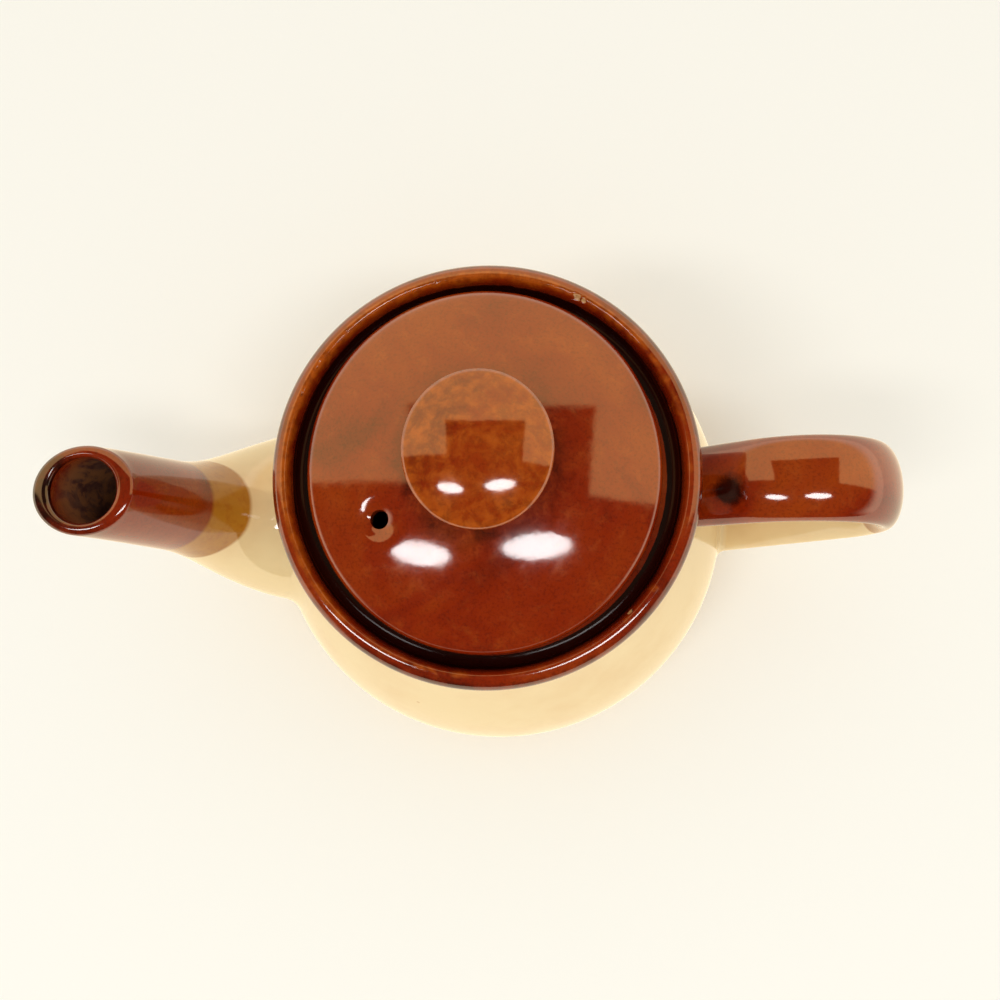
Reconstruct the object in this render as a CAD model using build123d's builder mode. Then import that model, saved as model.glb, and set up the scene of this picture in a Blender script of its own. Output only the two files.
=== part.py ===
"""Ceramic teapot with a strap handle, a trumpet-rooted spout and a lift-off lid.

Millimetres, +Z up. The origin is the middle of the foot, on the table. The spout points to -X and the
handle to +X. The pot body, spout, handle, lid and knob are separate clay pieces, and each joint between
them has its own bead of luting clay.
"""

import os
from math import atan2, cos, degrees, pi, radians, sin, sqrt

from build123d import *

# Pot body
foot_radius = 60.0
foot_height = 3.5
foot_ring_width = 7.0
foot_recess = 2.0
foot_edge_round = 1.2
belly_radius = 76.0
belly_height = 24.0
neck_radius = 52.0
wall = 5.0
floor_height = 8.0
floor_flat_radius = 36.0
lip_radius = 55.0
lip_width = 5.0
lip_top_height = 115.0
lip_rise = 18.0
lip_roll_height = 3.5
wall_steps = 8

# Lid seat inside the lip
gallery_depth = 6.5
gallery_taper = 1.4
seat_width = 7.0
seat_thickness = 7.0
seat_edge_round = 1.0
gallery_corner_round = 2.4

# Strainer behind the spout
strainer_hole_diameter = 6.0
strainer_ring_radius = 11.0
strainer_ring_holes = 6

# Spout
spout_overhang = 29.6
spout_mouth_height = 112.0
spout_mouth_diameter = 23.6
spout_mouth_pitch = 67.0
spout_turn = 3.0
spout_lip_round = 1.3
spout_wall = 4.0
spout_root_height = 40.0
spout_root_diameter = 57.0
spout_root_pitch = 10.0
spout_root_sink = 7.0
spout_tube_diameter = 32.0
spout_flare_share = 0.66
spout_section_shares = (0.0, 0.17, 0.33, 0.5, 0.66, 0.83)

# Handle
handle_overhang = 8.6
handle_root_drop = 13.0
handle_arch_drop = 2.4
handle_arch_radius = 25.0
handle_foot_height = 22.0
handle_root_width = 21.6
handle_foot_width = 25.0
handle_thickness = 10.0
handle_turn = 0.7
handle_offset = 1.4

# Lid
lid_gap = 3.3
lid_play = 1.2
lid_edge_height = 7.0
lid_top_round = 1.0
lid_dome_height = 11.5
lid_thickness = 4.5
flange_depth = 13.0
flange_thickness = 3.8
flange_edge_round = 1.2
vent_diameter = 4.4
vent_dish_diameter = 9.0
vent_dish_angle = 125.0
vent_reach = 29.5
vent_turn = 208.0

# Knob
knob_radius = 17.5
knob_height = 19.5
knob_crown = 5.8
knob_cap_radius = 33.0
knob_edge_width = 1.9
knob_neck_radius = 9.5
knob_neck_height = 4.5
knob_foot_radius = 11.0
knob_hollow_radius = 6.0
knob_top_thickness = 6.0
knob_hollow_round = 3.0

# Luting clay
luting_width = 3.0
luting_height = 2.6

# Cutting tools run this far past what they cut
overrun = 5.0

# Edges are picked within this height of their level
pick_margin = 0.01

# Directions in an outline, as run and rise
UPWARD = (0, 1)
DOWNWARD = (0, -1)
FOOT_SPREAD = (1, 1)
KNOB_SPREAD = (1, -2)

# Places worked out from the sizes above
lip_height = lip_top_height - lip_roll_height
neck_height = lip_top_height - lip_rise
handle_root_height = neck_height - handle_root_drop
handle_arch_reach = belly_radius + handle_overhang
handle_arch_height = handle_root_height - handle_arch_drop
spout_mouth_reach = belly_radius + spout_overhang
lip_inner_radius = lip_radius - lip_width
gallery_height = lip_top_height - gallery_depth
gallery_radius = lip_inner_radius - gallery_taper
throat_radius = gallery_radius - seat_width
inner_neck_radius = neck_radius - wall
foot_inner_radius = foot_radius - foot_ring_width
lid_radius = gallery_radius - lid_gap
lid_edge_top = gallery_height + lid_edge_height
lid_crown_height = lid_edge_top + lid_dome_height
dome_radius = (lid_radius**2 + lid_dome_height**2) / (2 * lid_dome_height)
dome_centre_height = lid_crown_height - dome_radius
flange_radius = throat_radius - lid_play
flange_inner_radius = flange_radius - flange_thickness
flange_bottom = gallery_height - flange_depth


def wall_radius(height):
    """Outside radius of the body at a height between the belly and the neck."""
    rise = (height - belly_height) / (neck_height - belly_height)
    middle = (belly_radius + neck_radius) / 2
    swing = (belly_radius - neck_radius) / 2
    return middle + swing * cos(pi * rise)


def wall_points(inset):
    """Points of the body wall from the belly up to the neck, moved inward by inset."""
    climb = neck_height - belly_height
    heights = [belly_height + climb * step / wall_steps for step in range(wall_steps + 1)]
    return [(wall_radius(height) - inset, height) for height in heights]


def draw_outer_wall(grow):
    """Outside of the body from the foot ring to the lip, moved outward by grow."""
    foot = (foot_radius + grow, foot_height)
    belly = (belly_radius + grow, belly_height)
    neck = (neck_radius + grow, neck_height)
    lip = (lip_radius + grow, lip_height)
    Spline(foot, belly, tangents=(FOOT_SPREAD, UPWARD))
    Spline(*wall_points(-grow), tangents=(UPWARD, UPWARD))
    Spline(neck, lip, tangents=(UPWARD, UPWARD))


def body_form(grow):
    """The body filled solid up to its lip, used to trim what is stuck on its outside."""
    with BuildPart() as form:
        with BuildSketch(Plane.XZ):
            with BuildLine():
                draw_outer_wall(grow)
                Polyline(
                    (lip_radius + grow, lip_height),
                    (0, lip_height),
                    (0, foot_height),
                    (foot_radius + grow, foot_height),
                )
            make_face()
        revolve(axis=Axis.Z)
    return form.part


def edges_at(piece, height):
    """The edges of a piece that lie at one height all along."""
    return piece.edges().filter_by_position(Axis.Z, height - pick_margin, height + pick_margin)


def dome_height_at(reach, depth):
    """Height of the lid's dome, depth below its outer skin, at a distance from the axis."""
    return dome_centre_height + sqrt((dome_radius - depth) ** 2 - reach**2)


trim_form = body_form(0)
bead_form = body_form(luting_height)

# Pot body: one turned wall, with the strainer holes pierced behind the spout
spout_upright = Plane.XZ.rotated((0, 0, spout_turn))
spout_side = spout_upright.z_dir
spout_root_slope = (-cos(radians(spout_root_pitch)), sin(radians(spout_root_pitch)))
strainer_plane = Plane(
    spout_upright.from_local_coords((-wall_radius(spout_root_height), spout_root_height)),
    x_dir=spout_side,
    z_dir=spout_upright.from_local_coords(spout_root_slope),
)

with BuildPart() as pot_body:
    with BuildSketch(Plane.XZ):
        with BuildLine():
            draw_outer_wall(0)
            Spline(
                (lip_radius, lip_height),
                (lip_radius - lip_width / 2, lip_top_height),
                (lip_inner_radius, lip_height),
                tangents=(UPWARD, DOWNWARD),
            )
            Polyline(
                (lip_inner_radius, lip_height),
                (gallery_radius, gallery_height),
                (throat_radius, gallery_height),
                (throat_radius, gallery_height - seat_thickness),
                (inner_neck_radius, neck_height),
            )
            Spline(*wall_points(wall), tangents=(UPWARD, UPWARD))
            EllipticalCenterArc(
                (floor_flat_radius, belly_height),
                belly_radius - wall - floor_flat_radius,
                belly_height - floor_height,
                start_angle=270,
                arc_size=90,
            )
            Polyline(
                (floor_flat_radius, floor_height),
                (0, floor_height),
                (0, foot_recess),
                (foot_inner_radius, foot_recess),
                (foot_inner_radius, 0),
                (foot_radius, 0),
                (foot_radius, foot_height),
            )
        make_face()
    revolve(axis=Axis.Z)
    fillet(pot_body.edges().group_by(Axis.Z)[0], foot_edge_round)
    seat_edges = edges_at(pot_body, gallery_height).sort_by(SortBy.RADIUS)
    fillet(seat_edges[0], seat_edge_round)
    fillet(seat_edges[-1], gallery_corner_round)
    with BuildSketch(strainer_plane):
        Circle(strainer_hole_diameter / 2)
        with PolarLocations(strainer_ring_radius, strainer_ring_holes):
            Circle(strainer_hole_diameter / 2)
    extrude(amount=wall + overrun, both=True, mode=Mode.SUBTRACT)
pot_body.part.label = "pot_body"

# Spout: a curved trumpet whose root lies on the body wall and whose mouth is cut level
spout_root_radius = spout_root_diameter / 2
spout_mouth_radius = spout_mouth_diameter / 2
spout_root_wall = wall_radius(spout_root_height)
spout_root_reach = sqrt(spout_root_wall**2 - spout_root_radius**2) - spout_root_sink

with BuildLine(spout_upright) as spout_line:
    Spline(
        (-spout_root_reach, spout_root_height),
        (-spout_mouth_reach, spout_mouth_height),
        tangents=(
            spout_root_slope,
            (-cos(radians(spout_mouth_pitch)), sin(radians(spout_mouth_pitch))),
        ),
    )
spout_path = spout_line.edge()


def spout_radius(share):
    """Outside radius of the spout at a share of its length: a tapering tube that swells at its root."""
    tube = spout_mouth_radius + (spout_tube_diameter / 2 - spout_mouth_radius) * (1 - share)
    swell = (1 + cos(pi * min(share / spout_flare_share, 1))) / 2
    return tube + (spout_root_radius - spout_tube_diameter / 2) * swell


def spout_form(grow):
    """The spout as a filled trumpet, with its radius changed by grow."""
    with BuildPart() as form:
        for share in spout_section_shares:
            with BuildSketch(Plane(spout_path @ share, x_dir=spout_side, z_dir=spout_path % share)):
                Circle(spout_radius(share) + grow)
        with BuildSketch(Plane(spout_path @ 1, x_dir=spout_side, z_dir=(0, 0, 1))):
            half_length = spout_mouth_radius / sin(radians(spout_mouth_pitch))
            Ellipse(spout_mouth_radius + grow, half_length + grow)
        loft()
    return form.part


spout_outside = spout_form(0)

with BuildPart() as spout:
    add(spout_outside)
    add(trim_form, mode=Mode.SUBTRACT)
    add(spout_form(-spout_wall), mode=Mode.SUBTRACT)
    fillet(spout.edges().group_by(Axis.Z)[-1], spout_lip_round)
spout.part.label = "spout"

with BuildPart() as spout_luting:
    add(spout_form(luting_width))
    add(bead_form, mode=Mode.INTERSECT)
    add(spout_outside, mode=Mode.SUBTRACT)
    add(trim_form, mode=Mode.SUBTRACT)
spout_luting.part.label = "spout_luting"

# Handle: a strap that rises from the neck, arches over and runs straight back to the belly
handle_upright = Plane.XZ.rotated((0, 0, handle_turn)).offset(handle_offset)
handle_side = handle_upright.z_dir
handle_root = (inner_neck_radius, handle_root_height)
handle_foot = (belly_radius - wall, handle_foot_height)


def arch_line(end, side):
    """Length and slope in degrees of the line from an end of the handle that touches one side of the arch."""
    run = handle_arch_reach - end[0]
    rise = handle_arch_height - end[1]
    length = sqrt(run**2 + rise**2 - handle_arch_radius**2)
    return length, degrees(atan2(rise, run) + side * atan2(handle_arch_radius, length))


upper_length, upper_slope = arch_line(handle_root, 1)
lower_length, lower_slope = arch_line(handle_foot, -1)

with BuildLine(handle_upright) as handle_line:
    PolarLine(handle_root, upper_length, upper_slope)
    CenterArc(
        (handle_arch_reach, handle_arch_height),
        handle_arch_radius,
        start_angle=upper_slope + 90,
        arc_size=lower_slope - upper_slope - 180,
    )
    PolarLine(handle_foot, lower_length, lower_slope)
handle_path = handle_line.wire()


def handle_form(grow):
    """The handle strap, running on into the body at both ends, with its section grown all round."""
    with BuildPart() as form:
        for share, width in ((0, handle_root_width), (1, handle_foot_width)):
            with BuildSketch(Plane(handle_path @ share, x_dir=handle_side, z_dir=handle_path % share)):
                Ellipse(width / 2 + grow, handle_thickness / 2 + grow)
        sweep(path=handle_path, multisection=True)
    return form.part


handle_outside = handle_form(0)
handle_grown = handle_form(luting_width)

with BuildPart() as handle:
    add(handle_outside)
    add(trim_form, mode=Mode.SUBTRACT)
handle.part.label = "handle"


def handle_bead(side):
    """Luting clay round the handle on one side, top or bottom, of the middle of its height."""
    with BuildPart() as bead:
        add(handle_grown)
        add(bead_form, mode=Mode.INTERSECT)
        add(handle_outside, mode=Mode.SUBTRACT)
        add(trim_form, mode=Mode.SUBTRACT)
        split(bisect_by=Plane.XY.offset((handle_root_height + handle_foot_height) / 2), keep=side)
    return bead


handle_neck_luting = handle_bead(Keep.TOP)
handle_neck_luting.part.label = "handle_neck_luting"
handle_belly_luting = handle_bead(Keep.BOTTOM)
handle_belly_luting.part.label = "handle_belly_luting"

# Lid: a dome with a rounded edge that rests on the seat, and a flange that keeps it in the throat
vent_height = dome_height_at(vent_reach, 0)
vent_normal = (
    vent_reach * cos(radians(vent_turn)),
    vent_reach * sin(radians(vent_turn)),
    vent_height - dome_centre_height,
)
vent_plane = Plane(
    origin=(vent_reach * cos(radians(vent_turn)), vent_reach * sin(radians(vent_turn)), vent_height),
    z_dir=vent_normal,
)

with BuildPart() as lid:
    with BuildSketch(Plane.XZ):
        with BuildLine():
            RadiusArc((lid_radius, lid_edge_top), (0, lid_crown_height), -dome_radius)
            Polyline(
                (lid_radius, lid_edge_top),
                (lid_radius, gallery_height),
                (flange_radius, gallery_height),
                (flange_radius, flange_bottom),
                (flange_inner_radius, flange_bottom),
                (flange_inner_radius, dome_height_at(flange_inner_radius, lid_thickness)),
            )
            RadiusArc(
                (flange_inner_radius, dome_height_at(flange_inner_radius, lid_thickness)),
                (0, lid_crown_height - lid_thickness),
                -(dome_radius - lid_thickness),
            )
            Line((0, lid_crown_height - lid_thickness), (0, lid_crown_height))
        make_face()
    revolve(axis=Axis.Z)
    fillet(edges_at(lid, lid_edge_top), lid_top_round)
    fillet(lid.edges().group_by(Axis.Z)[0], flange_edge_round)
    with Locations((0, 0, lid_crown_height)):
        Hole(knob_hollow_radius)
    with Locations(vent_plane):
        CounterSinkHole(vent_diameter / 2, vent_dish_diameter / 2, lid_thickness + overrun, vent_dish_angle)
lid.part.label = "lid"

# Knob: a hollow mushroom stuck on the crown of the lid, open below so that its air can leave
knob_base_height = dome_height_at(knob_foot_radius, 0)
knob_top = knob_base_height + knob_height
knob_edge_height = knob_top - knob_crown
knob_neck_top = knob_base_height + knob_neck_height
knob_hollow_top = knob_top - knob_top_thickness
knob_brink_radius = knob_radius - knob_edge_width
knob_brink_rise = sqrt(knob_cap_radius**2 - knob_brink_radius**2)
knob_brink = (knob_brink_radius, knob_top - knob_cap_radius + knob_brink_rise)
under_dome = dome_height_at(knob_foot_radius, lid_thickness)

with BuildPart() as knob:
    with BuildSketch(Plane.XZ):
        with BuildLine():
            RadiusArc(knob_brink, (0, knob_top), -knob_cap_radius)
            Spline(
                knob_brink,
                (knob_radius, knob_edge_height),
                tangents=((knob_brink_rise, -knob_brink_radius), DOWNWARD),
            )
            Spline(
                (knob_radius, knob_edge_height),
                (knob_neck_radius, knob_neck_top),
                (knob_foot_radius, knob_base_height),
                tangents=(DOWNWARD, KNOB_SPREAD),
            )
            Polyline(
                (knob_foot_radius, knob_base_height),
                (knob_foot_radius, under_dome),
                (0, under_dome),
                (0, knob_top),
            )
        make_face()
    revolve(axis=Axis.Z)
    with Locations((0, 0, dome_centre_height)):
        Sphere(dome_radius, mode=Mode.SUBTRACT)
    with BuildSketch(Plane.XY.offset(knob_hollow_top)):
        Circle(knob_hollow_radius)
    extrude(amount=under_dome - knob_hollow_top, mode=Mode.SUBTRACT)
    fillet(edges_at(knob, knob_hollow_top), knob_hollow_round)
knob.part.label = "knob"

with BuildPart() as knob_luting:
    with BuildSketch(Plane.XZ):
        bead_reach = knob_foot_radius + luting_width
        with BuildLine():
            Polyline(
                (knob_neck_radius, under_dome),
                (bead_reach, under_dome),
                (bead_reach, dome_height_at(bead_reach, 0)),
                (knob_neck_radius, knob_base_height + luting_height),
                close=True,
            )
        make_face()
    revolve(axis=Axis.Z)
    with Locations((0, 0, dome_centre_height)):
        Sphere(dome_radius, mode=Mode.SUBTRACT)
    add(knob.part, mode=Mode.SUBTRACT)
knob_luting.part.label = "knob_luting"

os.makedirs("parts", exist_ok=True)
export_step(pot_body.part, "parts/pot_body.step")
export_step(spout.part, "parts/spout.step")
export_step(spout_luting.part, "parts/spout_luting.step")
export_step(handle.part, "parts/handle.step")
export_step(handle_neck_luting.part, "parts/handle_neck_luting.step")
export_step(handle_belly_luting.part, "parts/handle_belly_luting.step")
export_step(lid.part, "parts/lid.step")
export_step(knob.part, "parts/knob.step")
export_step(knob_luting.part, "parts/knob_luting.step")
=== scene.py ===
"""A brown and cream glazed teapot, modelled piece by piece around its solid model.

Lengths are metres in the frame of the solids: the origin is the middle of the foot, +Z is up, the handle
points to +X and the spout to -X. Every clay piece is a closed skin that takes the place of its solid.
"""

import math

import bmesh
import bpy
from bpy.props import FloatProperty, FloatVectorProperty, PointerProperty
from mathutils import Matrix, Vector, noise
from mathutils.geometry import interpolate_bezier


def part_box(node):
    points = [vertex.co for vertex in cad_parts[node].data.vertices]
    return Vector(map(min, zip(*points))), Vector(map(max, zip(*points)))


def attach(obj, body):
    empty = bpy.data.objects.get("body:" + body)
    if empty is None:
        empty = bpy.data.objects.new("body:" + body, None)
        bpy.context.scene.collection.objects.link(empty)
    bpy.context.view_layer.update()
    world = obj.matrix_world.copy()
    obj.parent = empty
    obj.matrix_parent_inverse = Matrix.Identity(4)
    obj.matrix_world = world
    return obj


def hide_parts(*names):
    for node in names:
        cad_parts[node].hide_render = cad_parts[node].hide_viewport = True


bl_info = {
    "name": "Glazed Teapot",
    "version": (1, 0, 0),
    "blender": (4, 5, 0),
    "location": "3D View > Sidebar > Teapot",
    "description": "Models a dipped and glazed ceramic teapot with a loose lid",
    "category": "Add Mesh",
}

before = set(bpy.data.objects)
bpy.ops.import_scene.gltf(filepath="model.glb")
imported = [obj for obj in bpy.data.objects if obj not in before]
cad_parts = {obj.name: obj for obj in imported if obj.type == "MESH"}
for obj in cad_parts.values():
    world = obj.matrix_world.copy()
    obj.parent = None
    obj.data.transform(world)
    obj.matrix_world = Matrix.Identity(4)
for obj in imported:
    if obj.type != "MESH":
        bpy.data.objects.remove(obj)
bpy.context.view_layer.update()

MM = 0.001
POT_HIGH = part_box("pot_body")[1]
LID_LOW, LID_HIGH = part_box("lid")
KNOB_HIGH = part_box("knob")[1]

# Fineness of the skins
RING_SIDES = 160
TUBE_SIDES = 96
TUBE_TURNS = [2 * math.pi * side / TUBE_SIDES for side in range(TUBE_SIDES)]
CURVE_STEPS = 14
CORNER_STEPS = 5
WALL_STEPS = 30
FILLET_STEPS = 10
SMOOTH_ANGLE = math.radians(50)

# A curve's handles reach this share of the way between its ends
BOW_SHARE = 0.385
# Outlines that close on the axis end this far from it
POLE = 0.2 * MM
DOWN = Vector((0, -1))

# Glaze feels the bends of an outline within this reach, and a bend of so many radians counts in full
RUN_REACH = 1.3 * MM
RUN_FULL = 2.2
# Share of the thinning that a ring has all round, and the share that it gains or loses by its side
THIN_EVEN = 0.7
THIN_SIDED = 0.3
FILLET_RUN = -0.35
# How closely a fillet looks for the corner that it fills
HALVINGS = 30
NUDGES = 200


def number(name, words, value, **kind):
    """A number that a user can change."""
    return FloatProperty(name=name, description=words, default=value, **kind)


def length(name, words, value):
    """A size that a user can change."""
    return number(name, words, value, min=0.0, unit="LENGTH")


def angle(name, words, degrees):
    """An angle that a user can change."""
    return number(name, words, math.radians(degrees), unit="ROTATION")


def colour(name, words, value):
    """A colour that a user can change."""
    return FloatVectorProperty(name=name, description=words, default=value, size=3, min=0.0, subtype="COLOR")


class TeapotBodySizes(bpy.types.PropertyGroup):
    """Sizes of the turned pot body."""

    foot_radius: length("Foot radius", "Outside of the foot ring", 60 * MM)
    foot_height: length("Foot height", "Height of the foot ring", 3.5 * MM)
    foot_ring: length("Foot ring", "Width of the ring that the pot stands on", 7 * MM)
    foot_recess: length("Foot recess", "Hollow inside the foot ring", 2 * MM)
    foot_round: length("Foot round", "Softening of the foot's edges", 1.2 * MM)
    belly_radius: length("Belly radius", "Widest outside radius", POT_HIGH.x)
    belly_height: length("Belly height", "Height of the widest place", 24 * MM)
    neck_radius: length("Neck radius", "Narrowest outside radius under the lip", 52 * MM)
    lip_radius: length("Lip radius", "Outside of the rolled lip", 55 * MM)
    lip_width: length("Lip width", "Width of the rolled lip", 5 * MM)
    lip_top: length("Lip height", "Top of the rolled lip", POT_HIGH.z)
    lip_rise: length("Lip rise", "Height of the lip above the neck", 18 * MM)
    lip_roll: length("Lip roll", "Height of the lip's rounding", 3.5 * MM)
    wall: length("Wall", "Thickness of the wall", 5 * MM)
    floor_height: length("Floor height", "Inside floor above the table", 8 * MM)
    floor_flat: length("Floor flat", "Radius of the flat inside floor", 36 * MM)
    gallery_depth: length("Gallery depth", "Seat of the lid below the lip", 6.5 * MM)
    gallery_taper: length("Gallery taper", "How much the gallery narrows downwards", 1.4 * MM)
    seat_width: length("Seat width", "Width of the ledge under the lid", 7 * MM)
    seat_thickness: length("Seat thickness", "Thickness of the ledge", 7 * MM)
    seat_round: length("Seat round", "Softening of the ledge's edges", 1.2 * MM)
    gallery_round: length("Gallery round", "Softening of the corner outside the ledge", 2.4 * MM)
    lip_shoulder: length("Lip shoulder", "Width of the lip outside its crest", 3.6 * MM)


class TeapotSpoutSizes(bpy.types.PropertyGroup):
    """Sizes of the spout."""

    mouth_reach: length("Mouth reach", "Distance of the mouth from the axis", 104.25 * MM)
    mouth_height: length("Mouth height", "Height of the mouth", 112 * MM)
    mouth_radius: length("Mouth radius", "Outside radius at the mouth", 11.8 * MM)
    mouth_stretch: length("Mouth stretch", "How much further the mouth reaches along the spout", 0.6 * MM)
    mouth_pitch: angle("Mouth pitch", "Steepness of the tube at the mouth", 67)
    root_reach: length("Root reach", "Distance of the root from the axis", 60.5 * MM)
    root_height: length("Root height", "Height of the root", 40 * MM)
    root_radius: length("Root radius", "Outside radius at the root", 28.5 * MM)
    root_pitch: angle("Root pitch", "Steepness of the tube at the root", 10)
    tube_radius: length("Tube radius", "Radius of the tube without its swelling root", 16 * MM)
    wall: length("Wall", "Thickness of the tube at its root", 4 * MM)
    mouth_wall: length("Mouth wall", "Thickness of the tube at its mouth", 3.1 * MM)
    lip_roll: length("Lip roll", "Height of the rounding at the mouth", 1.6 * MM)
    lip_shoulder: length("Lip shoulder", "Width of the mouth's lip outside its crest", 2.1 * MM)
    turn: angle("Turn", "How far the spout stands off the handle's line", 3)


class TeapotHandleSizes(bpy.types.PropertyGroup):
    """Sizes of the handle strap."""

    root_height: length("Root height", "Height of the strap's line inside the neck", 84 * MM)
    arch_reach: length("Arch reach", "Distance of the arch's middle from the axis", 84.6 * MM)
    arch_height: length("Arch height", "Height of the arch's middle", 81.6 * MM)
    arch_radius: length("Arch radius", "Radius of the arch along the strap's line", 25 * MM)
    foot_height: length("Foot height", "Height where the strap meets the belly", 22 * MM)
    root_width: length("Root width", "Width of the strap at the neck", 21.6 * MM)
    foot_width: length("Foot width", "Width of the strap at the belly", 25 * MM)
    thickness: length("Thickness", "Thickness of the strap", 10 * MM)
    turn: angle("Turn", "How far the handle turns off the X axis", 0.7)
    offset: length("Offset", "How far the handle stands in front of the axis", 1.4 * MM)


class TeapotLidSizes(bpy.types.PropertyGroup):
    """Sizes of the lid and its knob."""

    radius: length("Lid radius", "Outside of the lid", LID_HIGH.x)
    edge_height: length("Edge height", "Height of the lid's upright edge", 7 * MM)
    edge_round: length("Edge round", "Softening of the lid's edge", 1.8 * MM)
    dome_rise: length("Dome rise", "Rise of the dome above the edge", 11.5 * MM)
    thickness: length("Thickness", "Thickness of the dome", 4.5 * MM)
    flange_radius: length("Flange radius", "Outside of the flange in the throat", 40.4 * MM)
    flange_thickness: length("Flange thickness", "Thickness of the flange", 3.8 * MM)
    flange_bottom: length("Flange bottom", "Lower edge of the flange", LID_LOW.z)
    rest_left: length("Rest left", "How far the loose lid lies towards the spout", 0.4 * MM)
    rest_back: length("Rest back", "How far the loose lid lies towards the back", 0.46 * MM)
    vent_radius: length("Vent radius", "Radius of the steam vent", 2.35 * MM)
    vent_dish: length("Vent dish", "Radius of the soft hollow round the steam vent", 7.6 * MM)
    vent_sink: length("Vent sink", "Depth of the hollow at the steam vent", 1.4 * MM)
    vent_reach: length("Vent reach", "Distance of the vent from the axis", 28.7 * MM)
    vent_turn: angle("Vent turn", "Place of the vent round the lid", 209.4)
    knob_radius: length("Knob radius", "Widest radius of the knob", KNOB_HIGH.x)
    knob_top: length("Knob top", "Top of the knob", KNOB_HIGH.z)
    knob_crown: length("Knob crown", "Rise of the knob above its widest place", 5.8 * MM)
    knob_cap_radius: length("Knob cap radius", "Radius of the knob's rounded top", 33 * MM)
    knob_edge: length("Knob edge", "Width of the softened edge of the knob", 1.9 * MM)
    knob_height: length("Knob height", "Height of the knob above the dome", 19.5 * MM)
    knob_neck: length("Knob neck", "Narrowest radius of the knob", 9.5 * MM)
    knob_neck_height: length("Knob neck height", "Height of the knob's neck", 4.5 * MM)
    knob_foot: length("Knob foot", "Radius where the knob meets the lid", 11 * MM)
    knob_hollow: length("Knob hollow", "Radius of the hollow in the knob", 6 * MM)
    knob_cap: length("Knob cap", "Thickness of clay over the hollow", 6 * MM)


class TeapotJointSizes(bpy.types.PropertyGroup):
    """Sizes of the wiped clay in the joints."""

    spout_fillet: length("Spout fillet", "Reach of the wiped clay round the spout", 4.5 * MM)
    handle_fillet: length("Handle fillet", "Reach of the wiped clay round the handle", 4 * MM)
    knob_fillet: length("Knob fillet", "Reach of the wiped clay round the knob", 3 * MM)
    root_depth: length("Root depth", "How deep the stuck-on pieces sit in the wall", 2 * MM)
    sink: length("Sink", "How far a fillet's thin edges dip under the skins", 0.06 * MM)


class TeapotGlazeColours(bpy.types.PropertyGroup):
    """Colours and places of the glazes."""

    treacle: colour("Treacle", "Brown glaze at its usual thickness", (0.235, 0.0155, 0.001))
    treacle_deep: colour("Deep treacle", "Brown glaze in its dark clouds", (0.045, 0.003, 0.0008))
    # Also the colour of painted shade in the gallery groove and of painted dark reflections on the handle and
    # lid
    treacle_pool_and_shade: colour("Pooled treacle", "Brown glaze where it pools", (0.010, 0.0010, 0.0006))
    amber: colour("Amber", "Brown glaze where it runs thin", (0.40, 0.075, 0.004))
    honey: colour("Honey", "Brown glaze where it thins out over the cream", (0.42, 0.175, 0.016))
    rust: colour("Rust", "Bare patches in the stain", (0.20, 0.070, 0.016))
    stain: colour("Stain", "Tea stain inside the spout", (0.10, 0.036, 0.017))
    cream: colour("Cream", "Pale glaze below the dip line", (0.83, 0.65, 0.35))
    cream_shade: colour("Cream shade", "Pale glaze where it lies thick", (0.78, 0.57, 0.29))
    clay: colour("Clay", "Bare fired clay", (0.66, 0.46, 0.27))
    chip: colour("Chip", "Clay in old chips, dark with use", (0.55, 0.28, 0.09))
    dip_height: length("Dip height", "Height of the dip line on the axis", 74 * MM)
    dip_slope: number("Dip slope", "Rise of the dip line towards the handle", 0.045, subtype="FACTOR")


class TeapotStage(bpy.types.PropertyGroup):
    """Floor, lamps and camera."""

    floor_size: length("Floor size", "Side of the floor", 8.0)
    floor_colour: colour("Floor colour", "Colour of the pale table as the camera sees it", (0.95, 0.94, 0.87))
    floor_warmth: colour("Floor warmth", "Colour of the table as the glaze sees it", (0.98, 0.84, 0.60))
    floor_mirrored: number("Mirrored floor", "How bright the table shows in the glaze", 1.4)
    camera_lens: number("Lens", "Focal length on a 36 mm sensor", 32.65, unit="CAMERA")
    camera_pitch: angle("Pitch", "Tilt of the camera away from straight down", 7.99)
    camera_roll: angle("Roll", "Sideways tilt of the camera", 2.1787)
    camera_turn: angle("Turn", "Turn of the camera about the upright axis", 0.6)
    strip_strength: number("Strips", "Power of each strip lamp", 9.0, unit="POWER")
    soft_light: number("Soft light", "Even light from all round", 0.78)
    mirrored_room: number("Mirrored room", "Brightness of the room in the glaze", 1.85)


def bend(start, leaving, end, arriving, steps=CURVE_STEPS):
    """The points after start on a smooth curve that leaves and arrives along two directions."""
    start, end = Vector(start), Vector(end)
    pull = BOW_SHARE * (end - start).length
    return interpolate_bezier(
        start, start + pull * leaving.normalized(), end - pull * arriving.normalized(), end, steps + 1
    )[1:]


def clamp(value):
    """A value kept between 0 and 1."""
    return max(0.0, min(1.0, value))


def rounded(first, corner, last, steps):
    """Points on a curve from first to last that is drawn towards a corner."""
    shares = [step / steps for step in range(steps + 1)]
    return [first.lerp(corner, share).lerp(corner.lerp(last, share), share) for share in shares]


def rolled(crest, inner, outer, rise):
    """The roll of a lip as reach and height, with a width inside its crest and another outside it."""
    line = []
    for step in range(1, 2 * CURVE_STEPS):
        turn = math.pi * step / (2 * CURVE_STEPS)
        across = inner if step < CURVE_STEPS else outer
        line.append((crest - across * math.cos(turn), rise * math.sin(turn)))
    return line


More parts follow.
